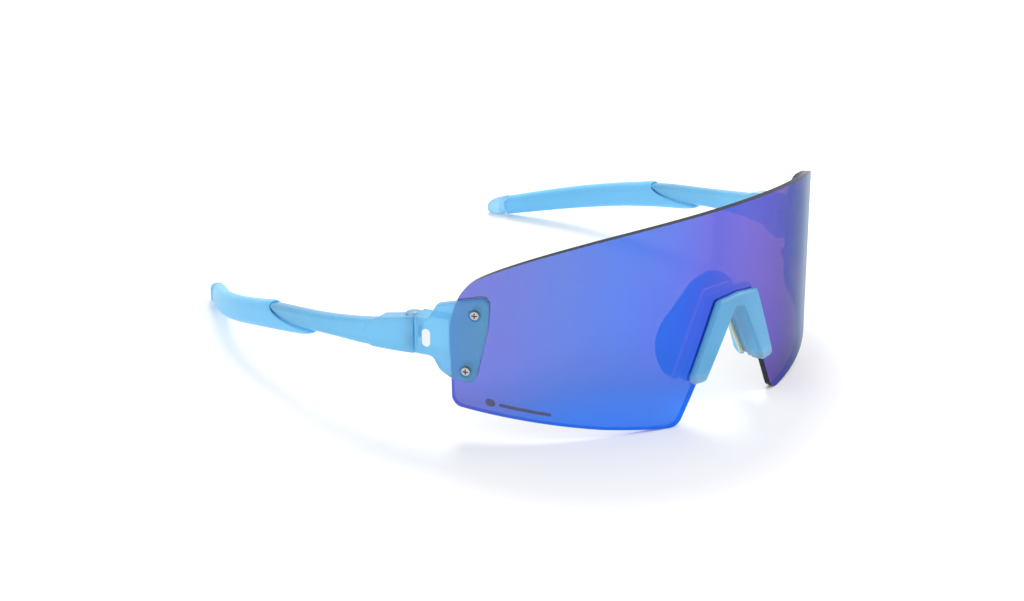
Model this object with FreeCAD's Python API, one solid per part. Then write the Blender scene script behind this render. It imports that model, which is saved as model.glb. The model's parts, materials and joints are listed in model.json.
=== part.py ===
import FreeCAD
import Part
import math
import os

# Wraparound sport sunglasses: one cylindrical shield lens, two brackets screwed to its ends, two folding
# temples with rubber sleeves, and a clip-on nose bridge with a soft saddle pad.
# +X is the wearer's left, +Y points back to the ears, +Z is up, and the floor is Z = 0.
# "Girth" is the distance round the lens's outer face from its middle; "fall" is a height below the brow.

Vector = FreeCAD.Vector
Flat = FreeCAD.Base.Vector2d

# Lens: a vertical cylinder's skin
LENS_RADIUS = 74.4
LENS_THICKNESS = 2.0
LENS_HEIGHT = 58.1
LENS_HALF_GIRTH = 79.9
BROW_EDGE = [(20.0, 0.85), (40.0, 3.6), (60.0, 8.95)]  # girth, fall
END_CORNER = [(9.9, 13.0), (4.3, 16.7), (1.5, 21.5), (0.0, 29.1)]  # distance in from the end, fall
LENS_END_FOOT = 8.4
CHEEK_EDGE = [(60.0, 5.4), (40.0, 2.25)]
LOBE_GIRTH = 18.7
LOBE_ROUND = 4.0
LOBE_SINK = 0.32  # how far the lobe's rounded corner would reach below the floor if it were sharp
NOTCH_TOP = 31.9
NOTCH_HALF_TOP = 2.5
NOTCH_ROUND = 2.0

# Brackets: outline points as (distance past the lens's end, height above the hinge's middle, corner radius)
HINGE_FALL = 30.4
BRACKET_THICKNESS = 1.8
BRACKET_BEVEL = 0.45
PLATE_FRONT = [(-10.7, 12.0, 2.2), (-10.3, 3.3, 25.0), (-6.9, -11.9, 1.8)]
PLATE_FOOT = [(-1.2, -11.6, 8.0), (2.3, -9.4, 3.0)]
PLATE_BROW = [(2.9, 8.9, 1.2)]
NECK_TOP_START = 5.6
NECK_FOOT_START = 4.4
NECK_TOP = 4.4  # above the hinge's middle
NECK_FOOT = -5.8
NECK_TOP_ROUND = 1.0
NECK_ROUND = 2.0
LENS_END_GAP = 0.3
SCREWS = {"upper": (-7.1, 7.1), "lower": (-4.7, -8.65)}

# Lens screws, nuts and washers
SCREW_RADIUS = 0.7
SCREW_HOLE_CLEARANCE = 0.05
HEAD_RADIUS = 1.2
HEAD_HEIGHT = 0.75
HEAD_DOME = 0.25
SEAT_RADIUS = 1.65
SEAT_DEPTH = 0.35
CROSS_WIDTH = 0.34
CROSS_LENGTH = 1.5
CROSS_DEPTH = 0.45
WASHER_RADIUS = 1.9
WASHER_THICKNESS = 0.4
NUT_RADIUS = 1.6
NUT_THICKNESS = 1.6
NUT_SIDES = 6
SCREW_END = 0.3

# Hinges
BREAK_AT = 9.6
BREAK_GAP = 0.25
PIN_AT = 11.4
PIN_INSET = 4.0
PIN_RADIUS = 0.7
PIN_CLEARANCE = 0.05
KNUCKLE_RADIUS = 2.2
KNUCKLE_CLEARANCE = 0.3
CENTRE_KNUCKLE = (-2.1, 1.1)  # below and above the hinge's middle
KNUCKLE_END_GAP = 0.2
BARREL = (-5.0, 3.8)  # the hinge barrel's foot and top
KNUCKLE_ARM = 3.6  # how far ahead of the pin the bracket's knuckles reach
KNUCKLE_SLOT = 5.0  # how far ahead of the pin the temple is cleared for them

# Temples
TEMPLE_THICKNESS = 4.6
TEMPLE_LENGTH = 110.0
SKIN_HEADING = 84.3  # where the outer wall leaves the bracket's cylinder, degrees from +X
SIDE_RADIUS = 218.0
BEND_FROM_TIP = 45.0
BEND_RADIUS = 75.0
BEND_ANGLE = 23.0
TIP_HEIGHT = 2.01  # the axis at the tip, above the floor
BLOCK_START = (4.2, -5.95)  # the front block's top and bottom at the break, above the hinge's middle
BLOCK_END = [(26.5, -7.2, 3.0), (25.0, -2.2, 4.0), (23.3, -0.2, 0.8), (21.0, 1.6, 1.0)]
BLOCK_PROUD = 0.35
BLOCK_BEVEL = 0.35
# Sections behind the front block: (distance behind the pin, wall thickness, above, below the axis, corner)
TEMPLE_SECTIONS = [
    (3.0, 3.9, 2.8, 5.0, 1.0),
    (10.0, 3.9, 2.65, 4.75, 1.0),
    (19.0, 3.8, 2.8, 3.6, 1.1),
    (29.0, 3.7, 3.2, 2.4, 1.2),
    (40.0, 3.7, 3.9, 1.7, 1.2),
    (54.0, 3.8, 4.6, 1.5, 1.2),
]
TANG_SECTIONS = [
    (36.0, 2.2, 2.2, 0.6, 0.5),
    (54.0, 2.2, 3.0, 0.9, 0.5),
    (75.0, 2.2, 2.6, 0.9, 0.5),
    (95.0, 2.2, 2.0, 0.9, 0.5),
    (106.5, 2.2, 1.1, 1.1, 0.5),
]
SLEEVE_SECTIONS = [
    (33.0, 5.2, 2.4, 2.6, 1.3),
    (38.0, 5.3, 3.6, 3.3, 1.7),
    (46.0, 5.4, 4.5, 3.1, 1.9),
    (55.0, 5.5, 5.2, 2.8, 2.0),
    (66.0, 5.4, 5.0, 2.7, 2.0),
    (80.0, 5.2, 4.5, 2.8, 2.0),
    (93.0, 4.8, 3.9, 2.8, 1.9),
    (103.0, 4.4, 3.2, 2.8, 1.7),
    (107.0, 4.1, 2.85, 2.65, 1.6),
    (109.0, 3.3, 2.2, 2.1, 1.3),
    (110.0, 1.8, 1.2, 1.0, 0.6),
]
SLEEVE_LIP = [(34.0, -5.0), (35.6, -2.4), (42.0, -0.9), (49.0, 1.6), (53.0, 4.2), (55.0, 7.0)]
SLEEVE_END = 104.0
PRISM_REACH = 15.0  # how far the tool that divides the sleeve from the temple reaches past them

# Nose bridge: a channel that clips over the notch's edge
FLANGE_GAP = 0.05
FLANGE_FRONT = 1.45
FLANGE_BACK = 1.2
FLANGE_TOP = 34.0
FLANGE_SHOULDER = 33.2
FLANGE_HALF_TOP = 7.4
FLANGE_SPREAD = 16.2
FLANGE_FOOT = 11.4
FLANGE_ROUND = 1.6
FLANGE_BEVEL = 0.6
BACK_GROW = 0.8
WEB_THICKNESS = 2.0
WEB_GAP = 0.1
APEX_ROUND = 0.9
SHOULDER_ROUND = 1.5
SADDLE_BACK = 6.6  # where the channel ends and the nose pad's core begins, behind the lens's middle
SADDLE_FOOT_ROUND = 0.45
SADDLE_STEP = 0.35

# Nose pad and the stiff core it is moulded on
CORE_THICKNESS = 0.9
CORE_MARGIN = 0.3
CORE_SPREAD = 3.2  # how far outside the notch's edge its sides reach
CORE_TOP = 33.7
PAD_MARGIN = 0.6
PAD_DEPTH = 7.6
PAD_FLARE = 4.4
PAD_RISE = 4.6
PAD_FOOT = 10.0

HINGE_Z = LENS_HEIGHT - HINGE_FALL
BRACKET_RADIUS = LENS_RADIUS + BRACKET_THICKNESS
LENS_INNER_RADIUS = LENS_RADIUS - LENS_THICKNESS
PIN_GIRTH = LENS_HALF_GIRTH + PIN_AT
PIN_ORBIT = BRACKET_RADIUS - PIN_INSET
BLOCK_INNER_RADIUS = PIN_ORBIT - KNUCKLE_RADIUS
UP = Vector(0, 0, 1)


def heading(girth):
    """The angle round the lens's axis, from straight ahead, at a girth."""
    return girth / LENS_RADIUS


def wall(radius):
    """The upright cylinder of this radius about the lens's axis."""
    surface = Part.Cylinder()
    surface.Radius = radius
    surface.Center = Vector(0, LENS_RADIUS, 0)
    return surface


def on_wall(radius, girth, z):
    """The point at this girth and height on the cylinder of this radius."""
    angle = heading(girth)
    return Vector(radius * math.sin(angle), LENS_RADIUS - radius * math.cos(angle), z)


def unrolled(point):
    """A (girth, height) pair in the cylinder's own coordinates."""
    return Flat(1.5 * math.pi + heading(point[0]), point[1])


def rolled_up(flat_curve):
    """A spline drawn in (girth, height), in the cylinder's own coordinates."""
    poles = [unrolled((pole.x, pole.y)) for pole in flat_curve.getPoles()]
    curve = Part.Geom2d.BSplineCurve2d()
    knots, counts = flat_curve.getKnots(), flat_curve.getMultiplicities()
    curve.buildFromPolesMultsKnots(poles, counts, knots, False, flat_curve.Degree)
    return curve


def smooth(points):
    """A curve on a cylinder through (girth, height) points."""
    flat_curve = Part.Geom2d.BSplineCurve2d()
    flat_curve.interpolate([Flat(*p) for p in points])
    return rolled_up(flat_curve)


def line_or_arc(points, leaving=None, arriving=None):
    """A side of an outline on a cylinder: a line through two points, or an arc with its end directions."""
    if leaving is None:
        return Part.Geom2d.Line2dSegment(*[unrolled(p) for p in points])
    first, last = [Flat(way.x, way.y) for way in (leaving, arriving)]
    flat_curve = Part.Geom2d.BSplineCurve2d()
    flat_curve.interpolate([Flat(*p) for p in points], InitialTangent=first, FinalTangent=last)
    return rolled_up(flat_curve)


def corner_arc(before, corner, after, radius):
    """The arc that rounds a corner: points from the side of before to the side of after, and directions."""
    here = Vector(corner[0], corner[1], 0)
    back = (Vector(before[0], before[1], 0) - here).normalize()
    ahead = (Vector(after[0], after[1], 0) - here).normalize()
    half = back.getAngle(ahead) / 2
    middle = here + (back + ahead).normalize() * (radius / math.sin(half))
    start = here + back * (radius / math.tan(half))
    end = here + ahead * (radius / math.tan(half))
    turn = math.pi - 2 * half
    side = 1 if back.cross(ahead).z < 0 else -1
    arm = start - middle
    points = []
    for step in range(5):
        angle = side * turn * step / 4
        x = arm.x * math.cos(angle) - arm.y * math.sin(angle)
        y = arm.x * math.sin(angle) + arm.y * math.cos(angle)
        points.append((middle.x + x, middle.y + y))
    points[-1] = (end.x, end.y)
    return points, back * -1, ahead


def sides_of(path):
    """Lines and arcs through (girth, height, corner radius) points, as arguments for line_or_arc."""
    sides = []
    at = path[0][:2]
    for before, corner, after in zip(path, path[1:], path[2:]):
        if corner[2] == 0:
            sides.append(([at, corner[:2]],))
            at = corner[:2]
            continue
        bend = corner_arc(before, corner, after, corner[2])
        sides += [([at, bend[0][0]],), bend]
        at = bend[0][-1]
    sides.append(([at, path[-1][:2]],))
    return sides


def rounded(path):
    """The lines and arcs of a path on a cylinder, from its first point to its last."""
    return [line_or_arc(*side) for side in sides_of(path)]


def inset(path, distance):
    """A closed path of (girth, height, corner radius) points, drawn in by this distance all round."""
    points = [Vector(s, z, 0) for s, z, _ in path]
    area = sum(a.x * b.y - b.x * a.y for a, b in zip(points, points[1:] + points[:1]))
    turn = 1 if area > 0 else -1
    drawn = []
    for index, (here, (_, _, radius)) in enumerate(zip(points, path)):
        arriving = (here - points[index - 1]).normalize()
        leaving = (points[(index + 1) % len(points)] - here).normalize()
        normals = [Vector(-way.y, way.x, 0) * turn for way in (arriving, leaving)]
        move = (normals[0] + normals[1]) * (distance / (1 + normals[0] * normals[1]))
        bulge = arriving.cross(leaving).z * turn > 0
        smaller = max(radius - distance, radius / 4) if bulge else radius + distance
        drawn.append((here.x + move.x, here.y + move.y, smaller if radius else 0))
    return drawn


def closed(path):
    """The path as a loop that starts and ends halfway along its last side."""
    start = ((path[-1][0] + path[0][0]) / 2, (path[-1][1] + path[0][1]) / 2, 0)
    return [start] + path + [start]


def ring(path):
    return rounded(closed(path))


def flat_ring(path, y):
    """The closed outline of a path of (x, height, corner radius) points, upright at this depth."""
    edges = []
    for points, *ways in sides_of(closed(path)):
        corners = [Vector(x, y, z) for x, z in (points[0], points[len(points) // 2], points[-1])]
        curve = Part.Arc(*corners) if ways else Part.LineSegment(corners[0], corners[-1])
        edges.append(curve.toShape())
    return Part.Wire(edges)


def plate_solid(layers):
    """A solid through outlines on coaxial cylinders, given as (outline, radius), from the inside out."""
    drawn = [[curve.toShape(wall(radius)) for curve in outline] for outline, radius in layers]
    faces = []
    for (_, radius), edges in ((layers[0], drawn[0]), (layers[-1], drawn[-1])):
        face = Part.Face(wall(radius), Part.Wire(edges))
        face.validate()
        faces.append(face)
    for lower, upper in zip(drawn, drawn[1:]):
        faces += [Part.makeRuledSurface(a, b) for a, b in zip(lower, upper)]
    shell = Part.makeShell(faces)
    shell.sewShape()
    solid = Part.makeSolid(shell)
    if solid.Volume < 0:
        solid.reverse()
    return solid


def curved_plate(path, inner_radius, outer_radius, bevel=0):
    """A plate between two coaxial cylinders, whose outer edge can be bevelled."""
    if bevel == 0:
        return plate_solid([(ring(path), inner_radius), (ring(path), outer_radius)])
    layers = [(ring(path), inner_radius), (ring(path), outer_radius - bevel)]
    return plate_solid(layers + [(ring(inset(path, bevel)), outer_radius)])


def mirrored(shape):
    return shape.mirror(Vector(0, 0, 0), Vector(1, 0, 0))


def radial_tool(girth, z, shape):
    """Turns a shape built about +X, standing at the origin, to point outward at this place on the lens."""
    placed = shape.copy()
    placed.rotate(Vector(0, 0, 0), UP, math.degrees(heading(girth)) - 90)
    placed.translate(Vector(0, LENS_RADIUS, z))
    return placed


def radial_cylinder(radius, start, end):
    return Part.makeCylinder(radius, end - start, Vector(start, 0, 0), Vector(1, 0, 0))


def screw_places():
    return {name: (LENS_HALF_GIRTH + past, HINGE_Z + up) for name, (past, up) in SCREWS.items()}


def make_lens():
    brow = [(LENS_HALF_GIRTH - back, LENS_HEIGHT - fall) for back, fall in END_CORNER]
    right_brow = [(s, LENS_HEIGHT - fall) for s, fall in BROW_EDGE] + brow
    left_brow = [(-s, z) for s, z in reversed(right_brow)]
    end = right_brow[-1]
    half = [(*end, 0), (LENS_HALF_GIRTH - 0.4, LENS_END_FOOT, 3.2)]
    half += [(s, z, 90.0) for s, z in CHEEK_EDGE]
    half += [(LOBE_GIRTH, -LOBE_SINK, LOBE_ROUND), (NOTCH_HALF_TOP, NOTCH_TOP, NOTCH_ROUND)]
    other_half = [(-s, z, r) for s, z, r in reversed(half)]
    outline = [smooth(left_brow + [(0, LENS_HEIGHT)] + right_brow)] + rounded(half + other_half)
    lens = plate_solid([(outline, LENS_INNER_RADIUS), (outline, LENS_RADIUS)])
    hole = radial_cylinder(SCREW_RADIUS + SCREW_HOLE_CLEARANCE, LENS_INNER_RADIUS - 2, LENS_RADIUS + 2)
    for girth, z in screw_places().values():
        for side in (-1, 1):
            lens = lens.cut(radial_tool(side * girth, z, hole))
    return lens


def past_end(points):
    """Bracket outline points as (girth, height, corner radius)."""
    return [(LENS_HALF_GIRTH + past, HINGE_Z + up, r) for past, up, r in points]


def in_hinge_frame(shape):
    """Moves a shape built about the pin, +X outward and +Y back along the temple, to the left hinge."""
    placed = shape.copy()
    placed.rotate(Vector(0, 0, 0), UP, math.degrees(heading(PIN_GIRTH)) - 90)
    placed.translate(on_wall(PIN_ORBIT, PIN_GIRTH, HINGE_Z))
    return placed


def barrel(radius, low, high):
    return Part.makeCylinder(radius, high - low, Vector(0, 0, low), UP)


def block(x_low, x_high, y_low, y_high, z_low, z_high):
    return Part.makeBox(x_high - x_low, y_high - y_low, z_high - z_low, Vector(x_low, y_low, z_low))


def bracket_knuckle(low, high):
    arm = block(-KNUCKLE_RADIUS, KNUCKLE_RADIUS, -KNUCKLE_ARM, 0, low, high)
    return barrel(KNUCKLE_RADIUS, low, high).fuse(arm)


def make_bracket():
    """The left bracket: a plate on the lens, a thick neck behind its end, and two hinge knuckles."""
    break_girth = BREAK_AT - BREAK_GAP / 2
    outline = [(break_girth, NECK_TOP, 0), (NECK_TOP_START, NECK_TOP, NECK_TOP_ROUND)]
    outline += PLATE_BROW + PLATE_FRONT + PLATE_FOOT
    outline += [(NECK_FOOT_START, NECK_FOOT, NECK_ROUND), (break_girth, NECK_FOOT, 0)]
    plate = curved_plate(past_end(outline), LENS_RADIUS, BRACKET_RADIUS, BRACKET_BEVEL)
    backing_ends = [(break_girth, NECK_TOP), (LENS_END_GAP, NECK_TOP), (LENS_END_GAP, NECK_FOOT), (break_girth, NECK_FOOT)]
    backing = curved_plate(past_end([(*end, 0) for end in backing_ends]), BLOCK_INNER_RADIUS, LENS_RADIUS)
    low, high = CENTRE_KNUCKLE
    slot = barrel(KNUCKLE_RADIUS + KNUCKLE_CLEARANCE, low - KNUCKLE_END_GAP, high + KNUCKLE_END_GAP)
    bracket = plate.fuse(backing).cut(in_hinge_frame(slot))
    lower = bracket_knuckle(BARREL[0], low - KNUCKLE_END_GAP)
    upper = bracket_knuckle(high + KNUCKLE_END_GAP, BARREL[1])
    bracket = bracket.fuse([in_hinge_frame(lower), in_hinge_frame(upper)]).removeSplitter()
    bracket = bracket.cut(in_hinge_frame(barrel(PIN_RADIUS, BARREL[0], BARREL[1])))
    hole = radial_cylinder(SCREW_RADIUS + SCREW_HOLE_CLEARANCE, LENS_RADIUS - 1, BRACKET_RADIUS + 1)
    hole = hole.fuse(radial_cylinder(SEAT_RADIUS, BRACKET_RADIUS - SEAT_DEPTH, BRACKET_RADIUS + 1))
    for girth, z in screw_places().values():
        bracket = bracket.cut(radial_tool(girth, z, hole))
    return bracket


def make_hinge_pin():
    """A plain pin pressed into the bracket's knuckles; the temple turns on its middle."""
    return in_hinge_frame(barrel(PIN_RADIUS, *BARREL))


def make_screw(girth, z):
    """A pan-head screw with a cross recess, from the bracket's seat to just past its nut."""
    under_head = BRACKET_RADIUS - SEAT_DEPTH
    end = LENS_INNER_RADIUS - WASHER_THICKNESS - NUT_THICKNESS - SCREW_END
    head = radial_cylinder(HEAD_RADIUS, under_head, under_head + HEAD_HEIGHT)
    rim = [e for e in head.Edges if e.CenterOfMass.x > under_head + HEAD_HEIGHT - 0.01 and e.Closed]
    head = head.makeFillet(HEAD_DOME, rim)
    screw = head.fuse(radial_cylinder(SCREW_RADIUS, end, under_head)).removeSplitter()
    top = under_head + HEAD_HEIGHT
    long, wide = CROSS_LENGTH / 2, CROSS_WIDTH / 2
    for half_y, half_z in ((long, wide), (wide, long)):
        screw = screw.cut(block(top - CROSS_DEPTH, top + 1, -half_y, half_y, -half_z, half_z))
    return radial_tool(girth, z, screw)


def make_washer(girth, z):
    """A soft washer whose outer face is moulded to the lens's inner face."""
    inner = LENS_INNER_RADIUS - WASHER_THICKNESS
    ring = radial_cylinder(WASHER_RADIUS, inner, LENS_INNER_RADIUS + 1)
    ring = ring.cut(radial_cylinder(SCREW_RADIUS + SCREW_HOLE_CLEARANCE, inner - 1, LENS_INNER_RADIUS + 2))
    inside = Part.makeCylinder(LENS_INNER_RADIUS, LENS_HEIGHT * 2, Vector(0, LENS_RADIUS, 0), UP)
    return radial_tool(girth, z, ring).common(inside)


def make_nut(girth, z):
    outer = LENS_INNER_RADIUS - WASHER_THICKNESS
    corners = []
    for side in range(NUT_SIDES + 1):
        angle = 2 * math.pi * side / NUT_SIDES
        corners.append(Vector(outer - NUT_THICKNESS, NUT_RADIUS * math.cos(angle), NUT_RADIUS * math.sin(angle)))
    body = Part.Face(Part.makePolygon(corners)).extrude(Vector(NUT_THICKNESS, 0, 0))
    return radial_tool(girth, z, body.cut(radial_cylinder(SCREW_RADIUS, outer - NUT_THICKNESS, outer)))


def temple_path():
    """The left temple's outer wall seen from above, as arcs: (centre, radius, the angle from +X where it ends)."""
    lens_axis = Vector(0, LENS_RADIUS, 0)
    skin_turn = math.radians(SKIN_HEADING) - math.pi / 2
    leave = lens_axis + Vector(math.cos(skin_turn), math.sin(skin_turn), 0) * BRACKET_RADIUS
    side_centre = leave - Vector(math.cos(skin_turn), math.sin(skin_turn), 0) * SIDE_RADIUS
    tip_y = on_wall(PIN_ORBIT, PIN_GIRTH, 0).y + TEMPLE_LENGTH
    bend_turn = math.asin((tip_y - BEND_FROM_TIP - side_centre.y) / SIDE_RADIUS)
    bend_outward = Vector(math.cos(bend_turn), math.sin(bend_turn), 0)
    bend_centre = side_centre + bend_outward * (SIDE_RADIUS - BEND_RADIUS)
    return [
        (lens_axis, BRACKET_RADIUS, skin_turn),
        (side_centre, SIDE_RADIUS, bend_turn),
        (bend_centre, BEND_RADIUS, bend_turn + math.radians(BEND_ANGLE)),
    ]


def on_temple(behind_pin):
    """A point of the outer wall this far behind the pin in Y, and the outward normal there."""
    y = on_wall(PIN_ORBIT, PIN_GIRTH, 0).y + behind_pin
    for centre, radius, last_turn in temple_path():
        if y <= centre.y + radius * math.sin(last_turn):
            turn = math.asin((y - centre.y) / radius)
            outward = Vector(math.cos(turn), math.sin(turn), 0)
            return centre + outward * radius, outward
    outward = Vector(math.cos(last_turn), math.sin(last_turn), 0)
    along = Vector(-outward.y, outward.x, 0)
    end = centre + outward * radius
    return end + along * ((y - end.y) / along.y), outward


def axis_height(behind_pin):
    """The height of the temple's straight axis, which falls from the hinge to the tip."""
    return HINGE_Z + (TIP_HEIGHT - HINGE_Z) * behind_pin / TEMPLE_LENGTH


def temple_section(behind_pin, thickness, above, below, corner, wall_inset):
    """A rounded upright rectangle across the temple, whose outer side is wall_inset inside the wall."""
    point, outward = on_temple(behind_pin)
    start = point - outward * (thickness + wall_inset)
    frame_z = axis_height(behind_pin)
    low, high = frame_z - below, frame_z + above
    quarter = corner * (1 - math.sqrt(0.5))
    inset = [(0, 0), (quarter, quarter), (corner, 0)]

    def place(across, z):
        return Vector(start.x, start.y, 0) + outward * across + UP * z

    sides = [
        [place(corner, low), place(thickness - corner, low)],
        [place(thickness - corner, low), place(thickness - quarter, low + quarter), place(thickness, low + corner)],
        [place(thickness, low + corner), place(thickness, high - corner)],
        [place(thickness, high - corner), place(thickness - quarter, high - quarter), place(thickness - corner, high)],
        [place(thickness - corner, high), place(corner, high)],
        [place(corner, high), place(quarter, high - quarter), place(0, high - corner)],
        [place(0, high - corner), place(0, low + corner)],
        [place(0, low + corner), place(quarter, low + quarter), place(corner, low)],
    ]
    edges = [Part.LineSegment(*s).toShape() if len(s) == 2 else Part.Arc(*s).toShape() for s in sides]
    return Part.Wire(edges)


def temple_loft(sections, middle_inset):
    """A loft through temple sections centred middle_inset inside the outer wall."""
    wires = []
    for behind, thickness, above, below, corner in sections:
        wires.append(temple_section(behind, thickness, above, below, corner, middle_inset - thickness / 2))
    return Part.makeLoft(wires, True, False)


def behind_lip(end):
    """Everything from the sleeve's scooped lip back to this distance behind the pin."""
    points = SLEEVE_LIP + [(end, PRISM_REACH), (end, -PRISM_REACH), (SLEEVE_LIP[0][0], -PRISM_REACH)]
    pin_y = on_wall(PIN_ORBIT, PIN_GIRTH, 0).y
    corners = [Vector(0, pin_y + behind, axis_height(behind) + up) for behind, up in points]
    lip = Part.BSplineCurve()
    lip.interpolate(corners[: len(SLEEVE_LIP)])
    edges = [lip.toShape()]
    rest = corners[len(SLEEVE_LIP) - 1 :] + [corners[0]]
    edges += [Part.LineSegment(a, b).toShape() for a, b in zip(rest, rest[1:])]
    return Part.Face(Part.Wire(edges)).extrude(Vector(BRACKET_RADIUS * 2, 0, 0))


def make_temple_and_sleeve():
    """The left temple, all one clear moulding, and the rubber sleeve moulded over its rear half."""
    middle = TEMPLE_THICKNESS / 2
    start = BREAK_AT + BREAK_GAP / 2
    front = past_end([(start, up, 0) for up in BLOCK_START] + BLOCK_END)
    front_block = curved_plate(front, BRACKET_RADIUS - TEMPLE_THICKNESS, BRACKET_RADIUS, BLOCK_BEVEL)
    rear = temple_loft(TEMPLE_SECTIONS, middle + BLOCK_PROUD)
    tang = temple_loft(TANG_SECTIONS, middle)
    envelope = temple_loft(SLEEVE_SECTIONS, middle)
    zone, beyond = behind_lip(SLEEVE_END), behind_lip(TEMPLE_LENGTH + PRISM_REACH)
    tip = envelope.cut(zone).common(beyond)
    rear = rear.cut(beyond)
    sleeve = envelope.common(zone).cut(tang).cut(rear)
    low, high = CENTRE_KNUCKLE
    reach = HINGE_Z / 2
    temple = front_block.fuse([rear, tang, tip]).removeSplitter()
    for z_low, z_high in ((-reach, low), (high, reach)):
        swing = barrel(KNUCKLE_RADIUS + KNUCKLE_CLEARANCE, z_low, z_high)
        arm = block(-2 * KNUCKLE_RADIUS, KNUCKLE_RADIUS + KNUCKLE_CLEARANCE, -KNUCKLE_SLOT, 0, z_low, z_high)
        temple = temple.cut(in_hinge_frame(swing.fuse(arm)))
    temple = temple.fuse(in_hinge_frame(barrel(KNUCKLE_RADIUS, low, high))).removeSplitter()
    bore = barrel(PIN_RADIUS + PIN_CLEARANCE, low - 1, high + 1)
    return temple.cut(in_hinge_frame(bore)), sleeve


def notch_girth(z):
    """The girth of the lens notch's straight edge at this height."""
    return LOBE_GIRTH + (NOTCH_HALF_TOP - LOBE_GIRTH) * (z + LOBE_SINK) / (NOTCH_TOP + LOBE_SINK)


def notch_side(z, inward):
    """The girth of a line inward of the notch's edge by this distance, at this height."""
    return notch_girth(z) - inward * math.hypot(1, notch_girth(1) - notch_girth(0))


def arch(inward, foot, foot_round, outer_foot, shoulder, top):
    """A closed inverted V: its inner side lies inward of the notch's edge, its outer side is given."""
    apex = NOTCH_TOP - inward
    right = [
        (notch_side(apex, inward), apex, APEX_ROUND),
        (notch_side(foot, inward), foot, foot_round),
        (outer_foot, foot, foot_round),
        shoulder,
    ]
    left = [(-s, z, r) for s, z, r in reversed(right)]
    return right + [(0, top, 0)] + left


def notch_arch(inward, outward, foot):
    """An arch whose sides are parallel to the notch's edge."""
    top = NOTCH_TOP + outward
    shoulder = (notch_side(top, -outward), top - 0.02, SHOULDER_ROUND)
    return arch(inward, foot, SADDLE_FOOT_ROUND, notch_side(foot, -outward), shoulder, top)


def flange_arch(grow):
    """The arch of a flange that laps over the lens, grown outward by this much."""
    shoulder = (FLANGE_HALF_TOP + grow, FLANGE_SHOULDER + grow, FLANGE_ROUND)
    return arch(WEB_THICKNESS, FLANGE_FOOT, FLANGE_ROUND, FLANGE_SPREAD + grow, shoulder, FLANGE_TOP + grow)


def upright_plate(path, y_front, y_back):
    face = Part.Face(flat_ring(path, y_front))
    return face.extrude(Vector(0, y_back - y_front, 0))


def make_bridge():
    """The channel: a flange each side of the lens, the web in the notch, and a saddle behind."""
    front_inner = LENS_RADIUS + FLANGE_GAP
    back_outer = LENS_INNER_RADIUS - FLANGE_GAP
    front = curved_plate(flange_arch(0), front_inner, front_inner + FLANGE_FRONT, FLANGE_BEVEL)
    web_path = notch_arch(WEB_THICKNESS, -WEB_GAP, FLANGE_FOOT)
    web = curved_plate(web_path, back_outer, front_inner)
    back = curved_plate(flange_arch(BACK_GROW), back_outer - FLANGE_BACK, back_outer)
    saddle_path = notch_arch(WEB_THICKNESS - SADDLE_STEP, -SADDLE_STEP, FLANGE_FOOT + SADDLE_STEP)
    saddle = upright_plate(saddle_path, LENS_THICKNESS, SADDLE_BACK)
    inside = Part.makeCylinder(back_outer, LENS_HEIGHT, Vector(0, LENS_RADIUS, 0), UP)
    return front.fuse([web, back, saddle.common(inside)]).removeSplitter()


def make_pad_core():
    """The stiff horseshoe that joins the soft pad to the bridge."""
    outer_foot = notch_side(FLANGE_FOOT, -CORE_SPREAD)
    shoulder = (notch_side(CORE_TOP, -CORE_SPREAD), CORE_TOP - 0.02, SHOULDER_ROUND)
    inward = WEB_THICKNESS + CORE_MARGIN
    path = arch(inward, FLANGE_FOOT, SADDLE_FOOT_ROUND, outer_foot, shoulder, CORE_TOP)
    return upright_plate(path, SADDLE_BACK, SADDLE_BACK + CORE_THICKNESS)


def make_nose_pad():
    """The soft saddle: an inverted V that widens and rises towards the face."""
    front_y = SADDLE_BACK + CORE_THICKNESS
    front = notch_arch(WEB_THICKNESS + PAD_MARGIN, PAD_MARGIN, PAD_FOOT)
    back = []
    for x, z, r in front:
        side = 0 if x == 0 else math.copysign(1, x)
        rise = PAD_RISE * (z - PAD_FOOT) / (NOTCH_TOP - PAD_FOOT)
        back.append((x + side * PAD_FLARE, z + rise, r))
    wires = [flat_ring(front, front_y), flat_ring(back, front_y + PAD_DEPTH)]
    return Part.makeLoft(wires, True, True)


def export(name, solid, shift):
    placed = solid.copy()
    placed.translate(shift)
    placed.exportStep(f"parts/{name}.step")


def main():
    os.makedirs("parts", exist_ok=True)
    bracket = make_bracket()
    temple, sleeve = make_temple_and_sleeve()
    pin = make_hinge_pin()
    nodes = {"lens": make_lens(), "nose_bridge": make_bridge()}
    nodes["nose_pad_core"] = make_pad_core()
    nodes["nose_pad"] = make_nose_pad()
    pairs = {"bracket": bracket, "temple": temple, "temple_sleeve": sleeve, "hinge_pin": pin}
    for name, (girth, z) in screw_places().items():
        pairs[f"{name}_lens_screw"] = make_screw(girth, z)
        pairs[f"{name}_lens_washer"] = make_washer(girth, z)
        pairs[f"{name}_lens_nut"] = make_nut(girth, z)
    for name, solid in pairs.items():
        nodes[f"{name}_left"] = solid
        nodes[f"{name}_right"] = mirrored(solid)
    box = FreeCAD.BoundBox()
    for solid in nodes.values():
        box.add(solid.optimalBoundingBox())
    shift = Vector(0, -(box.YMin + box.YMax) / 2, -box.ZMin)
    for name, solid in nodes.items():
        print(name, solid.ShapeType, solid.isValid(), len(solid.Solids), round(solid.Volume, 1), solid.BoundBox)
        export(name, solid, shift)
    print("whole", box, "shift", shift)
    print("hinge pin at", on_wall(PIN_ORBIT, PIN_GIRTH, HINGE_Z) + shift)


main()
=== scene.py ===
import json
import math

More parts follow.
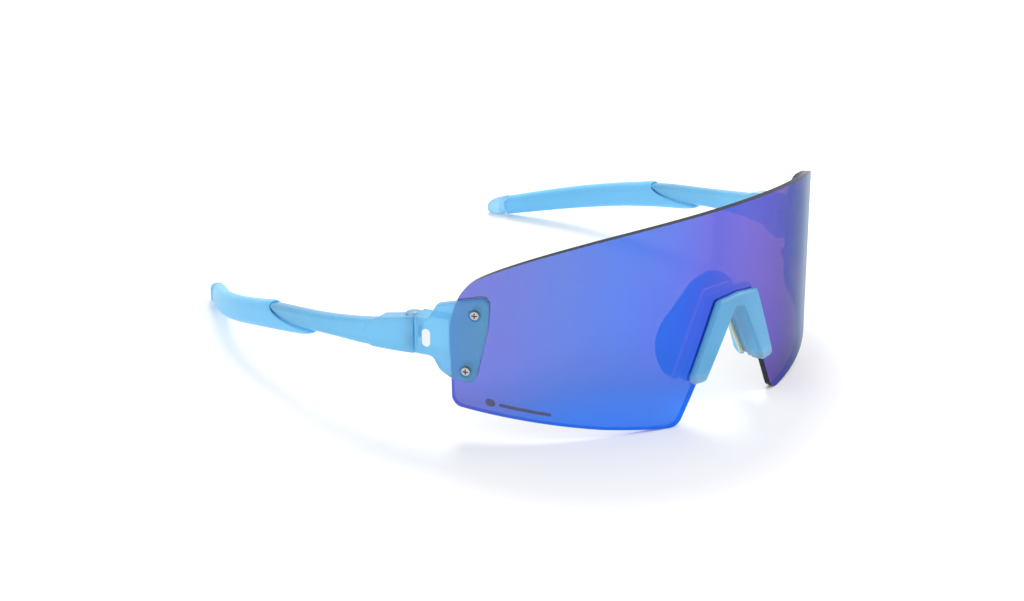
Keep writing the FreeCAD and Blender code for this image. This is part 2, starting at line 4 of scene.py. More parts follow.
import bmesh
import bpy
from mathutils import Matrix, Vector


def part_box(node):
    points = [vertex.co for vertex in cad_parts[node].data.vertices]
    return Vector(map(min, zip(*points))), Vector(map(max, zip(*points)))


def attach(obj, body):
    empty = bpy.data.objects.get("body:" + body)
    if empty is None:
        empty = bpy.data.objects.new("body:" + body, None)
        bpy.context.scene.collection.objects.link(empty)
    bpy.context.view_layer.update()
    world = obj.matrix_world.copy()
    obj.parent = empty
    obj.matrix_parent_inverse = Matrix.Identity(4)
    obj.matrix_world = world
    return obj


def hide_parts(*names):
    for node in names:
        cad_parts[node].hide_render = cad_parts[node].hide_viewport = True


# Wraparound sport sunglasses, in the CAD frame: +X to the wearer's left, +Y back to the ears, +Z up.
# The CAD solids keep their shapes and get materials. The sleeves, the nose pad and the marks are made here.
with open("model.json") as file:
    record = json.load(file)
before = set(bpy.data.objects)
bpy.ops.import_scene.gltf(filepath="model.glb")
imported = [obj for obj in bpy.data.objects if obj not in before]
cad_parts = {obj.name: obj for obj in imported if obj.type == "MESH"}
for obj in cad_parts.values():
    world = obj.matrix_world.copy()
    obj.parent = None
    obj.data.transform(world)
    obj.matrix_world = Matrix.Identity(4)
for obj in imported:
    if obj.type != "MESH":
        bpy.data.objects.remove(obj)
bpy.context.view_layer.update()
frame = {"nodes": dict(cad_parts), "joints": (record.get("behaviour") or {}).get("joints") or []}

MM = 0.001
SIDES = {"left": 1, "right": -1}
LENS_RADIUS = 74.4 * MM
LENS_THICKNESS = 2.0 * MM
BRACKET_RADIUS = 76.2 * MM
LENS_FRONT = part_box("lens")[0].y
LENS_AXIS_Y = LENS_FRONT + LENS_RADIUS
LENS_LIFT = 0.0191 * MM  # the lens's lowest point, above the floor
HINGE = Vector(next(j["pos_m"] for j in frame["joints"] if j["name"] == "left_temple_fold"))
HINGE.z = 27.7 * MM + LENS_LIFT  # the middle of the hinge, where the temple's axis starts
TEMPLE_LENGTH = 110.0  # behind the hinge, as are the sleeve's start and end (mm)
SLEEVE_START = 33.0
SLEEVE_END = 104.0


# ---------------------------------------------------------------- node materials


class Shader:
    """A node material, with short calls for the nodes that the materials here share."""

    def __init__(self, name):
        self.material = bpy.data.materials.new(name)
        self.material.use_nodes = True
        self.tree = self.material.node_tree
        self.tree.nodes.clear()
        self.output = self.tree.nodes.new("ShaderNodeOutputMaterial")
        self.object_coordinates = self.add("ShaderNodeTexCoord").outputs["Object"]

    def add(self, kind, settings=None, **inputs):
        """Adds a node. An input is a number, a colour or another node's output socket."""
        node = self.tree.nodes.new(kind)
        for key, value in (settings or {}).items():
            setattr(node, key, value)
        for key, value in inputs.items():
            self.put(node, key.replace("_", " "), value)
        return node

    def put(self, node, key, value):
        socket = node.inputs[int(key)] if key.isdigit() else node.inputs[key]
        if isinstance(value, bpy.types.NodeSocket):
            self.tree.links.new(value, socket)
        else:
            socket.default_value = value

    def facing(self):
        """The surface's flat normal, and whether it is seen from behind."""
        geometry = self.add("ShaderNodeNewGeometry").outputs
        return geometry["Normal"], geometry["Backfacing"]

    def math(self, operation, first, second=0.0, third=0.0):
        node = self.add("ShaderNodeMath", {"operation": operation})
        for index, value in enumerate((first, second, third)):
            self.put(node, str(index), value)
        return node.outputs[0]

    def xyz(self, vector=None):
        """The three parts of a vector, or of the shaded point's place."""
        node = self.add("ShaderNodeSeparateXYZ", Vector=vector or self.object_coordinates)
        return node.outputs

    def ramp(self, value, stops):
        """A colour that runs through (place, colour) stops as a value grows."""
        node = self.add("ShaderNodeValToRGB", Fac=value)
        points = node.color_ramp.elements
        while len(points) < len(stops):
            points.new(0.5)
        for point, (place, color) in zip(points, stops):
            point.position = place
        for point, (place, color) in zip(points, stops):
            point.color = (*color, 1.0)
        return node.outputs["Color"]

    def step(self, value, low, high):
        """0 below low, 1 above high, smooth between."""
        node = self.add("ShaderNodeMapRange", {"interpolation_type": "SMOOTHSTEP"},
                        Value=value, From_Min=low, From_Max=high)
        return node.outputs["Result"]

    def inverse(self, amount):
        """1 where an amount is 0, and 0 where it is 1."""
        return self.math("SUBTRACT", 1.0, amount)

    def noise(self, scale, detail=3.0, stretch=(1.0, 1.0, 1.0)):
        node = self.add("ShaderNodeMapping", Vector=self.object_coordinates, Scale=stretch)
        texture = self.add("ShaderNodeTexNoise", Scale=scale, Detail=detail, Vector=node.outputs[0])
        return texture.outputs["Fac"]

    def bump(self, height, distance, strength=1.0):
        node = self.add("ShaderNodeBump", Height=height, Distance=distance, Strength=strength)
        return node.outputs["Normal"]

    def between(self, low, high, amount):
        """The mix of two colours by an amount."""
        node = self.add("ShaderNodeMix", {"data_type": "RGBA"})
        self.put(node, "Factor", amount)
        for index, color in ((6, low), (7, high)):
            self.put(node, str(index), color if isinstance(color, bpy.types.NodeSocket) else (*color, 1.0))
        return node.outputs[2]

    def number(self, amount, low, high):
        """A number that runs from low to high with an amount."""
        return self.math("MULTIPLY_ADD", amount, high - low, low)

    def blend(self, amount, first, second):
        node = self.add("ShaderNodeMixShader", Fac=amount)
        self.put(node, "1", first.outputs[0])
        self.put(node, "2", second.outputs[0])
        return node

    def finish(self, surface):
        self.tree.links.new(surface.outputs[0], self.output.inputs["Surface"])
        return self.material


def radial_distance(shader):
    """The distance of the shaded point from the lens's upright axis."""
    x, y, _ = shader.xyz()
    back = shader.math("SUBTRACT", y, LENS_AXIS_Y)
    squares = shader.math("ADD", shader.math("MULTIPLY", x, x), shader.math("MULTIPLY", back, back))
    return shader.math("SQRT", squares)


# Place across the lens, from its right end to its left, and the coat's mirror colour or its tint there. The
# mirror colours are the coat's blue and violet with painted reflection: their drift across the lens stands in
# for the change of the reflected colour with viewing angle.
COAT_AND_PAINTED_REFLECTION_COLORS = [
    (0.10, (0.108, 0.142, 0.70)),
    (0.16, (0.092, 0.150, 0.72)),
    (0.22, (0.064, 0.162, 0.75)),
    (0.31, (0.036, 0.158, 0.82)),
    (0.39, (0.038, 0.134, 0.79)),
    (0.45, (0.052, 0.108, 0.69)),
    (0.51, (0.092, 0.118, 0.61)),
    (0.59, (0.094, 0.106, 0.50)),
    (0.70, (0.050, 0.090, 0.28)),
]
COAT_TINTS = [
    (0.12, (0.58, 0.52, 0.08)),
    (0.31, (0.60, 0.52, 0.08)),
    (0.39, (0.68, 0.47, 0.08)),
    (0.45, (0.83, 0.37, 0.08)),
    (0.60, (0.78, 0.27, 0.08)),
    (0.82, (0.60, 0.30, 0.08)),
]


def lens_outer_face(s, inner_gloss):
    """A blue mirror coat with a violet flare, which lets some light through; the flare and the drift of the
    mirror colour across the lens are painted reflection, and the deeper blue near the foot is painted floor
    shade. From behind it is smoke.
    """
    x, y, z = s.xyz()
    heading = s.math("ARCTAN2", x, s.math("SUBTRACT", LENS_AXIS_Y, y))
    across = s.math("MULTIPLY_ADD", heading, 0.4, 0.5)
    drift = s.math("MULTIPLY_ADD", s.noise(9.0, 1.0), 0.05, -0.025)
    place = s.math("ADD", across, drift)
    # Mirror colour: the coat's own blue, with painted reflection in its drift across the lens.
    coat_and_painted_light_color = s.ramp(place, COAT_AND_PAINTED_REFLECTION_COLORS)
    tint = s.ramp(place, COAT_TINTS)
    # Painted floor shade: near the foot of the right half the mirror colour turns a deeper blue and the tint
    # lets less red through, standing in for the lens's own shadow on the floor seen through it.
    painted_shade_near_foot = s.inverse(s.step(z, 1 * MM, 24 * MM))
    right_half = s.math("SUBTRACT", s.step(place, 0.06, 0.26), s.step(place, 0.42, 0.54))
    low = s.math("MULTIPLY", painted_shade_near_foot, right_half)
    coat_and_painted_light_color = s.between(coat_and_painted_light_color, (0.024, 0.200, 1.0), low)
    tint = s.between(tint, (0.36, 0.60, 0.60), low)
    orange_peel = s.bump(s.noise(260.0, 2.0), 0.000004)
    coat = s.add("ShaderNodeBsdfGlossy", Color=coat_and_painted_light_color, Roughness=0.05, Normal=orange_peel)
    through = s.add("ShaderNodeBsdfTransparent", Color=tint)
    sealing = s.add("ShaderNodeBsdfGlossy", Color=(0.36, 0.42, 0.52, 1.0), Roughness=0.08)
    fresnel = s.add("ShaderNodeFresnel", IOR=1.45).outputs[0]
    grazing = s.math("MULTIPLY", s.step(fresnel, 0.08, 0.60), 0.8)
    from_front = s.blend(grazing, s.blend(0.85, through, coat), sealing)
    dark_smoke = s.add("ShaderNodeBsdfTransparent", Color=(0.36, 0.335, 0.33, 1.0))
    _, backfacing = s.facing()
    return s.blend(backfacing, from_front, s.blend(0.06, dark_smoke, inner_gloss))


def lens_inner_face(s, inner_gloss):
    """Bare smoke polycarbonate."""
    smoke = s.add("ShaderNodeBsdfTransparent", Color=(0.95, 0.95, 0.96, 1.0))
    fresnel = s.add("ShaderNodeFresnel", IOR=1.4).outputs[0]
    return s.blend(s.math("MULTIPLY", fresnel, 0.4), smoke, inner_gloss)


def lens_rim(s):
    """The cut edge: dark smoke, with painted blue light from the coat on it under the right half and at both
    ends.
    """
    x = s.xyz()[0]
    normal_z = s.xyz(s.facing()[0])[2]
    facing_down = s.step(s.math("MULTIPLY", normal_z, -1.0), 0.2, 0.6)
    facing_down = s.math("MULTIPLY", facing_down, s.math("LESS_THAN", x, 0.0))
    far_out = s.step(s.math("ABSOLUTE", x), 60 * MM, 63 * MM)
    at_ends = s.math("MULTIPLY", far_out, s.math("LESS_THAN", normal_z, 0.5))
    # Painted light: the rim is coloured blue where it faces down or lies at the ends, in place of the coat's
    # light glowing in the edge.
    painted_coat_light = s.math("MAXIMUM", facing_down, at_ends)
    color = s.between((0.008, 0.013, 0.026), (0.02, 0.13, 0.80), painted_coat_light)
    worn = s.number(s.noise(1400.0, 3.0), 0.16, 0.42)
    rim = s.add("ShaderNodeBsdfPrincipled", Base_Color=color, Roughness=worn)
    s.put(rim, "Specular IOR Level", 0.12)
    return rim


def lens_material():
    """Smoke polycarbonate with a blue mirror coat on its outer face."""
    s = Shader("mirror_lens")
    inner_gloss = s.add("ShaderNodeBsdfGlossy", Color=(0.6, 0.6, 0.62, 1.0), Roughness=0.06)
    radius = radial_distance(s)
    inner_radius = LENS_RADIUS - LENS_THICKNESS
    outer_share = s.step(radius, LENS_RADIUS - 0.22 * MM, LENS_RADIUS - 0.12 * MM)
    inner_share = s.inverse(s.step(radius, inner_radius + 0.06 * MM, inner_radius + 0.16 * MM))
    behind = s.blend(inner_share, lens_rim(s), lens_inner_face(s, inner_gloss))
    return s.finish(s.blend(outer_share, behind, lens_outer_face(s, inner_gloss)))


def even(s):
    """No clearer end."""
    return 0.0


def clear_leg_end(s):
    """1 in the lowest part of the nose bridge's legs."""
    return s.inverse(s.step(s.xyz()[2], 13.4 * MM, 14.6 * MM))


def clear_tip(s):
    """1 in the temple's bare tip, and a little under 0 where the sleeve wraps it."""
    y = s.xyz()[1]
    tip = s.step(y, HINGE.y + (SLEEVE_END - 1) * MM, HINGE.y + SLEEVE_END * MM)
    wrapped = s.step(y, HINGE.y + (SLEEVE_START - 7) * MM, HINGE.y + (SLEEVE_START + 7) * MM)
    return s.math("SUBTRACT", s.math("MULTIPLY", tip, 1.9), s.math("MULTIPLY", wrapped, 0.9))


def clear_plastic(name, own_color, tint, share, roughness, grain, clearer_end=even):
    """Polished translucent plastic: some light passes with a tint, the rest scatters in its own colour, paled
    along each edge by a painted highlight.
    """
    s = Shader(name)
    cloud = s.noise(90.0, 4.0)
    flow = s.noise(55.0, 2.0, (1.0, 0.25, 1.0))
    eased = s.add("ShaderNodeBevel", {"samples": 4}, Radius=0.4 * MM).outputs["Normal"]
    turned = s.add("ShaderNodeVectorMath", {"operation": "DOT_PRODUCT"})
    s.put(turned, "0", eased)
    s.put(turned, "1", s.facing()[0])
    # Painted highlight: the colour is paled where the bevelled normal turns away from the surface's normal,
    # along each edge.
    painted_edge_highlight = s.inverse(s.step(turned.outputs["Value"], 0.75, 0.995))
    clearer = clearer_end(s)
    color = s.between(tuple(c * 0.94 for c in own_color), tuple(min(1.0, c * 1.05) for c in own_color), cloud)
    color = s.between(color, tuple(0.45 * c + 0.5 for c in own_color), s.math("MULTIPLY", painted_edge_highlight, 0.45))
    color = s.between(color, (0.62, 0.88, 1.0), s.math("MULTIPLY", clearer, 0.6))
    grain_height = s.noise(grain, 3.0)
    skin = s.add("ShaderNodeBump", Height=grain_height, Distance=0.000006, Normal=eased).outputs["Normal"]
    front_lit = s.add("ShaderNodeBsdfPrincipled", Base_Color=color, Roughness=roughness, Normal=skin)
    s.put(front_lit, "Specular IOR Level", 0.25)
    back_lit = s.add("ShaderNodeBsdfTranslucent", Color=color, Normal=skin)
    through = s.add("ShaderNodeBsdfTransparent", Color=(*tint, 1.0))
    opaque = s.math("SUBTRACT", s.number(flow, share - 0.04, share + 0.04), s.math("MULTIPLY", clearer, 0.22))
    volume = s.blend(opaque, through, s.blend(0.5, front_lit, back_lit))
    gloss = s.add("ShaderNodeBsdfGlossy", Color=(1.0, 1.0, 1.0, 1.0), Normal=skin,
                  Roughness=s.number(cloud, roughness * 0.5, roughness * 0.9))
    shine = s.math("MULTIPLY", s.add("ShaderNodeFresnel", IOR=1.45, Normal=skin).outputs[0], 0.7)
    return s.finish(s.blend(shine, volume, gloss))


def rubber(name, color, roughness):
    """Satin moulded rubber, with a fine grain and paler, drier high spots."""
    s = Shader(name)
    patches = s.noise(140.0, 4.0)
    grain = s.add("ShaderNodeTexVoronoi", Scale=3800.0, Vector=s.object_coordinates).outputs["Distance"]
    pores = s.math("MULTIPLY_ADD", s.noise(2600.0, 4.0), 0.7, s.math("MULTIPLY", grain, 0.3))
    tone = s.between(tuple(c * 0.93 for c in color), tuple(min(1.0, c * 1.04) for c in color), patches)
    body = s.add("ShaderNodeBsdfPrincipled", Base_Color=tone, Normal=s.bump(pores, 0.000018),
                 Roughness=s.number(patches, roughness - 0.06, roughness + 0.08))
    s.put(body, "Subsurface Weight", 0.12)
    s.put(body, "Subsurface Radius", (0.0006, 0.0012, 0.0016))
    s.put(body, "Sheen Weight", 0.12)
    s.put(body, "Sheen Roughness", 0.5)
    return s.finish(body)


def moulded(name, low, high, roughness, scale):
    """Plain moulded or printed stuff whose tone drifts between two colours."""
    s = Shader(name)
    cloud = s.noise(scale, 4.0)
    body = s.add("ShaderNodeBsdfPrincipled", Base_Color=s.between(low, high, cloud),
                 Roughness=s.number(cloud, roughness - 0.06, roughness + 0.1), Normal=s.bump(cloud, 0.00001))
    return s.finish(body)


def plated_steel():
    """Bright nickel plate: fine turning marks, and painted shade in the recess, dark where the ambient
    occlusion node finds it enclosed.
    """
    s = Shader("plated_steel")
    marks = s.noise(5200.0, 2.0, (1.0, 1.0, 0.15))
    # Painted shade: the colour goes near black where ambient occlusion is strong, in the cross recess.
    shade = s.add("ShaderNodeAmbientOcclusion", {"samples": 8}, Distance=0.5 * MM).outputs["AO"]
    color = s.between((0.02, 0.018, 0.016), (0.50, 0.49, 0.48), s.step(shade, 0.5, 0.95))
    body = s.add("ShaderNodeBsdfPrincipled", Base_Color=color, Metallic=1.0,
                 Roughness=s.number(marks, 0.16, 0.34), Normal=s.bump(marks, 0.000004))
    return s.finish(body)


MATERIALS = {
    "lens": lens_material(),
    "bracket": clear_plastic("clear_blue_nylon", (0.23, 0.70, 0.98), (0.60, 0.84, 1.0),
                             0.56, 0.16, 900.0),
    "temple": clear_plastic("cloudy_blue_nylon", (0.26, 0.70, 0.98), (0.64, 0.86, 1.0),
                            0.76, 0.16, 900.0, clear_tip),
    "bridge": clear_plastic("satin_blue_nylon", (0.20, 0.66, 0.96), (0.50, 0.77, 1.0),
                            0.76, 0.30, 1500.0, clear_leg_end),
    "sleeve": rubber("sky_blue_rubber", (0.155, 0.57, 0.96), 0.44),
    "pad": rubber("nose_pad_rubber", (0.045, 0.58, 0.95), 0.40),
    "core": moulded("cream_plastic", (0.70, 0.68, 0.46), (0.82, 0.80, 0.58), 0.5, 400.0),
    "washer": moulded("natural_nylon", (0.78, 0.80, 0.80), (0.88, 0.89, 0.88), 0.4, 600.0),
    "steel": plated_steel(),
    "white_ink": moulded("white_ink", (0.86, 0.88, 0.90), (0.97, 0.98, 0.99), 0.42, 1200.0),
    "grey_ink": moulded("grey_ink", (0.055, 0.062, 0.16), (0.085, 0.09, 0.20), 0.4, 1200.0),
}

NODE_MATERIALS = {
    "lens": "lens", "bracket": "bracket", "temple": "temple",
    "nose_bridge": "bridge", "nose_pad_core": "core",
    "hinge_pin": "steel", "screw": "steel", "nut": "steel", "washer": "washer",
}


def dress_cad_nodes():
    for node, shown in frame["nodes"].items():
        for part, finish in NODE_MATERIALS.items():
            if node == part or (part in node and not (part == "lens" or "sleeve" in node)):
                shown.data.materials.clear()
                shown.data.materials.append(MATERIALS[finish])


# ---------------------------------------------------------------- meshes


def add_mesh(name, vertices, faces, material, body, smooth=True):
    mesh = bpy.data.meshes.new(name)
    mesh.from_pydata([tuple(v) for v in vertices], [], faces)
    tidy = bmesh.new()
    tidy.from_mesh(mesh)
    bmesh.ops.remove_doubles(tidy, verts=tidy.verts, dist=0.002 * MM)
    bmesh.ops.recalc_face_normals(tidy, faces=tidy.faces)
    tidy.to_mesh(mesh)
    tidy.free()
    if smooth:
        mesh.shade_smooth()
    mesh.materials.append(MATERIALS[material])
    piece = bpy.data.objects.new(name, mesh)
    bpy.context.scene.collection.objects.link(piece)
    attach(piece, body)
    return piece


def grid_faces(rows, columns, wrap):
    """Quads between rows of points; wrap joins each row's last point to its first."""
    faces = []
    for r in range(rows - 1):
        here, above = r * columns, (r + 1) * columns
        for c in range(columns if wrap else columns - 1):
            after = (c + 1) % columns
            faces.append((here + c, here + after, above + after, above + c))
    return faces


def through_points(points, at):
    """The values at a place on a smooth curve through (place, values...) points."""
    places = [p[0] for p in points]
    last = len(points) - 1
    at = min(max(at, places[0]), places[-1])
    index = max(i for i in range(last) if places[i] <= at)
    before, start, end, after = (points[min(max(index + k, 0), last)] for k in (-1, 0, 1, 2))
    span = end[0] - start[0]
    u = (at - start[0]) / span
    result = []
    for k in range(1, len(start)):
        left = (end[k] - before[k]) / (end[0] - before[0]) * span
        right = (after[k] - start[k]) / (after[0] - start[0]) * span
        result.append((2 * u**3 - 3 * u**2 + 1) * start[k] + (u**3 - 2 * u**2 + u) * left
                      + (3 * u**2 - 2 * u**3) * end[k] + (u**3 - u**2) * right)
    return result


# ---------------------------------------------------------------- temple sleeves

TIP_HEIGHT = 2.01 * MM + LENS_LIFT
SKIN_TURN = math.radians(84.3 - 90.0)
SIDE_RADIUS = 218.0 * MM
BEND_FROM_TIP = 45.0 * MM
BEND_RADIUS = 75.0 * MM
BEND_ANGLE = math.radians(23.0)
SLEEVE_MIDDLE = 2.65 * MM  # how far the sleeve's middle lies inside the temple's outer wall
# Distance behind the hinge, thickness, height above and below the temple's axis (mm), squareness
SLEEVE_SECTIONS = [
    (SLEEVE_START, 5.2, 2.2, 2.7, 2.6),
    (38.0, 5.3, 3.5, 3.3, 2.7),
    (46.0, 5.4, 4.5, 3.1, 2.8),
    (51.0, 5.5, 5.1, 2.9, 2.9),
    (55.0, 5.5, 5.3, 2.8, 2.9),
    (60.0, 5.5, 5.05, 2.7, 2.9),
    (66.0, 5.4, 4.9, 2.7, 2.8),
    (80.0, 5.2, 4.5, 2.8, 2.7),
    (93.0, 4.8, 3.9, 2.8, 2.6),
    (SLEEVE_END, 4.4, 3.15, 2.8, 2.6),
]
# Height on the section, and how far behind the hinge the scooped lip lies there (mm)
SLEEVE_LIP = [(-5.0, 34.0), (-2.4, 35.6), (-0.9, 41.5), (1.2, 48.2), (3.4, 52.2), (7.0, 54.6)]


def facing(turn):
    """The level direction at this turn from +X towards +Y."""
    return Vector((math.cos(turn), math.sin(turn), 0))


def temple_wall(behind):
    """A point of the left temple's outer wall this far behind the hinge in Y, and the outward direction."""
    y = HINGE.y + behind * MM
    tip_y = HINGE.y + TEMPLE_LENGTH * MM
    wrap_centre = Vector((0, LENS_AXIS_Y, 0))
    side_centre = wrap_centre + facing(SKIN_TURN) * (BRACKET_RADIUS - SIDE_RADIUS)
    bend_turn = math.asin((tip_y - BEND_FROM_TIP - side_centre.y) / SIDE_RADIUS)
    bend_centre = side_centre + facing(bend_turn) * (SIDE_RADIUS - BEND_RADIUS)
    arcs = [(wrap_centre, BRACKET_RADIUS, SKIN_TURN), (side_centre, SIDE_RADIUS, bend_turn),
            (bend_centre, BEND_RADIUS, bend_turn + BEND_ANGLE)]
    for middle, arc_radius, last_turn in arcs:
        if y <= middle.y + arc_radius * math.sin(last_turn):
            outward = facing(math.asin((y - middle.y) / arc_radius))
            return middle + outward * arc_radius, outward
    outward = facing(last_turn)
    along = Vector((-outward.y, outward.x, 0))
    end = middle + outward * arc_radius
    return end + along * ((y - end.y) / along.y), outward


def sleeve_point(behind, turn, sink):
    """A point of the sleeve's skin, sunk into it by some millimetres, and its height above the axis."""
    thickness, above, below, square = through_points(SLEEVE_SECTIONS, behind)
    across = math.copysign(abs(math.cos(turn)) ** (2 / square), math.cos(turn)) * (thickness / 2 - sink)
    rise = math.copysign(abs(math.sin(turn)) ** (2 / square), math.sin(turn))
    height = rise * ((above if rise > 0 else below) - sink)
    wall, outward = temple_wall(behind)
    axis_z = HINGE.z + (TIP_HEIGHT - HINGE.z) * behind / TEMPLE_LENGTH
    point = wall - outward * SLEEVE_MIDDLE + outward * (across * MM)
    return Vector((point.x, point.y, axis_z + height * MM)), height


def lip_start(turn):
    """How far behind the hinge the sleeve's scooped lip lies, this far round the section."""
    behind = 45.0
    for _ in range(12):
        behind = (behind + through_points(SLEEVE_LIP, sleeve_point(behind, turn, 0)[1])[0]) / 2
    return behind


def make_sleeve(side):
    around, along = 72, 60
    rolls = [(0.5, 1.5), (0.25, 0.9), (0.0, 0.42), (0.06, 0.16), (0.3, 0.02)]  # distance behind the lip, sink
    rows = []
    starts = [lip_start(2 * math.pi * c / around) for c in range(around)]
    for behind, sink in rolls:
        rows.append([(start + behind, sink) for start in starts])
    for r in range(1, along + 1):
        share = r / along
        rows.append([(start + 0.3 + (SLEEVE_END - 0.35 - start) * share ** 1.15, 0.0) for start in starts])
    for behind, sink in ((SLEEVE_END + 0.12, 0.1), (SLEEVE_END + 0.14, 0.5), (SLEEVE_END, 1.2)):
        rows.append([(behind, sink)] * around)
    points = []
    for row in rows:
        for c, (behind, sink) in enumerate(row):
            point, _ = sleeve_point(behind, 2 * math.pi * c / around, sink)
            points.append(Vector((point.x * SIDES[side], point.y, point.z)))
    faces = grid_faces(len(rows), around, True)
    sleeve = add_mesh(f"rubber_sleeve_{side}", points, faces, "sleeve", f"{side}_temple")
    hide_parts(f"temple_sleeve_{side}")


# ---------------------------------------------------------------- nose pad

PAD_FRONT_Y = 7.55
# Half width and height of the pad's front edge, then half width, depth and height of its free edge (mm)
PAD_EDGES = [
    (0.0, 0.0, 31.0, 0.0, 10.9, 36.6),
    (0.14, 1.9, 30.4, 5.4, 11.2, 35.0),
    (0.26, 3.4, 28.0, 9.2, 11.0, 32.2),
    (0.38, 4.7, 25.4, 11.6, 11.8, 29.0),
    (0.50, 6.2, 22.4, 13.9, 13.0, 25.6),
    (0.62, 7.7, 19.4, 15.1, 14.0, 21.8),
    (0.74, 9.1, 16.6, 15.4, 14.3, 18.0),
    (0.86, 10.6, 13.6, 15.0, 13.7, 14.2),
    (0.95, 11.7, 11.4, 14.2, 12.5, 11.4),
    (1.0, 12.2, 10.4, 13.5, 11.4, 10.2),
]


def pad_point(along, out):
    """A point of the pad's middle sheet.

    Along runs from foot to foot, -1 to 1, and out runs from the front edge to the free one, 0 to 1.
    """
    front_x, front_z, rear_x, rear_y, rear_z = through_points(PAD_EDGES, abs(along))
    start = Vector((front_x, PAD_FRONT_Y, front_z))
    end = Vector((rear_x, rear_y, rear_z))
    turn = Vector((start.x + (end.x - start.x) * 0.28, start.y + (end.y - start.y) * 0.62,
                   start.z + (end.z - start.z) * 0.28))
    point = start * (1 - out) ** 2 + turn * (2 * out * (1 - out)) + end * out**2
    return Vector((math.copysign(1, along) * point.x, point.y, point.z))


def rounded(value, start, end):
    """1 up to the start, then down a quarter circle to 0 at the end."""
    return math.sqrt(max(0.0, 1 - max(0.0, (value - start) / (end - start)) ** 2))


def make_nose_pad():
    along_count, out_count = 96, 24
    half = 0.95  # half the sheet's thickness (mm)
    nudge = 0.01  # the step that the sheet's slope is measured over
    top, bottom = [], []
    for a in range(along_count + 1):
        along = 2 * a / along_count - 1
        for o in range(out_count + 1):
            out = 0.5 - 0.5 * math.cos(math.pi * o / out_count)
            inside = min(max(out, nudge), 1 - nudge)
            level = min(max(along, nudge - 1), 1 - nudge)
            out_step = pad_point(level, inside + nudge) - pad_point(level, inside - nudge)
            along_step = pad_point(level + nudge, inside) - pad_point(level - nudge, inside)
            normal = out_step.cross(along_step).normalized()
            foot_round, rim_round = rounded(abs(along), 0.93, 1.0), rounded(out, 0.82, 1.0)
            reach = half * (1.25 - 0.5 * out) * foot_round * rim_round * rounded(out, 0.06, 0.0)
            middle = pad_point(along, out)
            if out < 0.1:
                normal = Vector((normal.x, 0, normal.z)).normalized()
            for surface, sign in ((top, 1), (bottom, -1)):
                surface.append((middle + normal * (reach * sign)) * MM + Vector((0, LENS_FRONT, LENS_LIFT)))
    rows, columns = along_count + 1, out_count + 1
    sheet = grid_faces(rows, columns, False)
    faces = sheet + [tuple(i + rows * columns for i in face) for face in sheet]
    pad = add_mesh("soft_nose_pad", top + bottom, faces, "pad", "front")
    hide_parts("nose_pad")


# ---------------------------------------------------------------- printed marks


def pill(name, radius, girth, z, width, height, material, slope=0.0):
    """A thin printed bar with round ends, on an upright cylinder about the lens's axis.

    Girth is the bar's place along the lens from its middle, and z its height, both in mm.
    """
    end, columns = min(width, height) / 2, 48
    points = []
    for c in range(columns + 1):
        across = -math.cos(math.pi * c / columns) * width / 2
        into_end = max(0.0, abs(across) - (width / 2 - end))
        half = height / 2 - end + math.sqrt(max(0.0, end**2 - into_end**2))
        angle = (girth + across) * MM / LENS_RADIUS
        for lift, rise in ((0.02, half), (0.02, -half), (-0.02, -half), (-0.02, half)):
            reach = radius + lift * MM
            points.append(Vector((reach * math.sin(angle), LENS_AXIS_Y - reach * math.cos(angle),
                                  (z + slope * across + rise) * MM)))
    faces = grid_faces(columns + 1, 4, True)
    if height > width:
        faces += [(0, 1, 2, 3), tuple(columns * 4 + k for k in (3, 2, 1, 0))]
    add_mesh(name, points, faces, material, "front", smooth=False)


# ---------------------------------------------------------------- stage, lights and camera


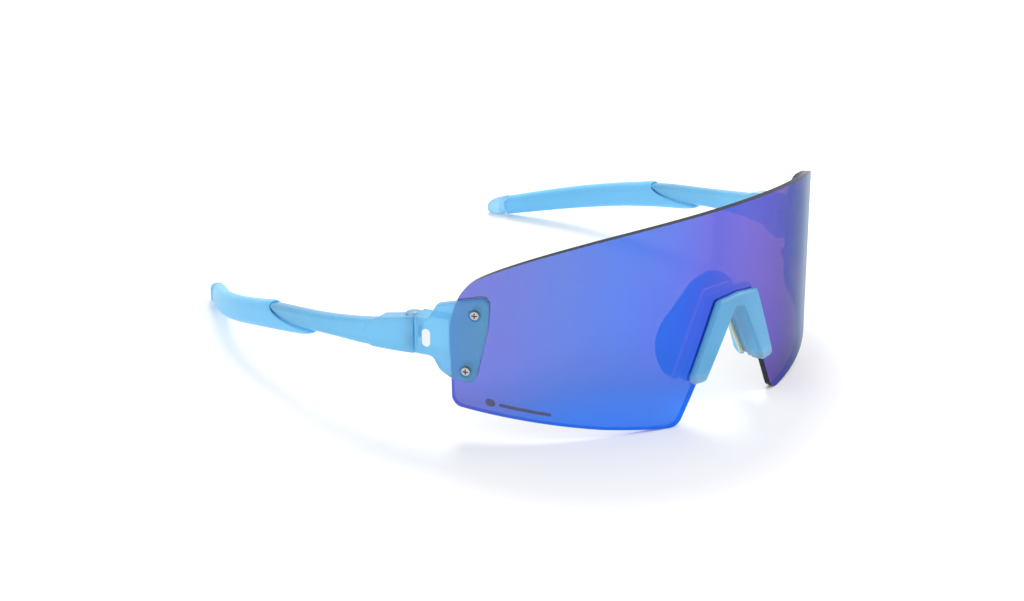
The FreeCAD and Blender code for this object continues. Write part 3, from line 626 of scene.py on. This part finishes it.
def make_floor():
    s = Shader("studio_floor")
    cloud = s.noise(3.0, 2.0)
    tone = s.between((0.93, 0.93, 0.93), (0.95, 0.95, 0.95), cloud)
    body = s.add("ShaderNodeBsdfPrincipled", Base_Color=tone, Roughness=s.number(cloud, 0.7, 0.8))
    s.put(body, "Specular IOR Level", 0.1)
    s.put(body, "Emission Color", (1.0, 1.0, 1.0, 1.0))
    s.put(body, "Emission Strength", 0.06)
    size = 40.0
    mesh = bpy.data.meshes.new("studio_floor")
    corners = [(-size, -size, 0), (size, -size, 0), (size, size, 0), (-size, size, 0)]
    mesh.from_pydata(corners, [], [(0, 1, 2, 3)])
    mesh.materials.append(s.finish(body))
    floor = bpy.data.objects.new("studio_floor", mesh)
    bpy.context.scene.collection.objects.link(floor)


def area_light(name, place, aim, size, power):
    light = bpy.data.lights.new(name, "AREA")
    light.shape = "DISK"
    light.size = size
    light.energy = power
    lamp = bpy.data.objects.new(name, light)
    lamp.location = place
    lamp.rotation_euler = (Vector(aim) - Vector(place)).to_track_quat("-Z", "Y").to_euler()
    bpy.context.scene.collection.objects.link(lamp)


def make_studio():
    world = bpy.data.worlds.new("studio")
    bpy.context.scene.world = world
    world.use_nodes = True
    world.node_tree.nodes["Background"].inputs["Color"].default_value = (1.0, 1.0, 1.0, 1.0)
    world.node_tree.nodes["Background"].inputs["Strength"].default_value = 0.83
    area_light("key", (0.40, 0.50, 0.85), (0, 0, 0), 0.45, 4.4)
    area_light("fill", (0.8, -0.7, 0.7), (0, 0, 0.02), 0.8, 5.5)
    bpy.context.scene.view_settings.view_transform = "Standard"


def make_camera():
    camera = bpy.data.cameras.new("camera")
    camera.lens = 85.9
    camera.sensor_width = 36.0
    camera.clip_start = 0.01
    holder = bpy.data.objects.new("camera", camera)
    holder.location = (-0.4416, -0.48015, 0.2714)
    aim = Vector((-0.0404, -0.03605, 0.0295))
    holder.rotation_euler = (aim - holder.location).to_track_quat("-Z", "Y").to_euler()
    bpy.context.scene.collection.objects.link(holder)
    bpy.context.scene.camera = holder


dress_cad_nodes()
for side in SIDES:
    make_sleeve(side)
make_nose_pad()
for side, sign in SIDES.items():
    pill(f"bracket_mark_{side}", BRACKET_RADIUS, sign * 85.8, 26.9, 2.3, 4.9, "white_ink")
pill("lens_print_block", LENS_RADIUS, -69.2, 10.1, 2.6, 2.0, "grey_ink", -0.18)
pill("lens_print_bar", LENS_RADIUS, -60.2, 8.4, 13.6, 0.9, "grey_ink", -0.18)
make_floor()
make_studio()
make_camera()
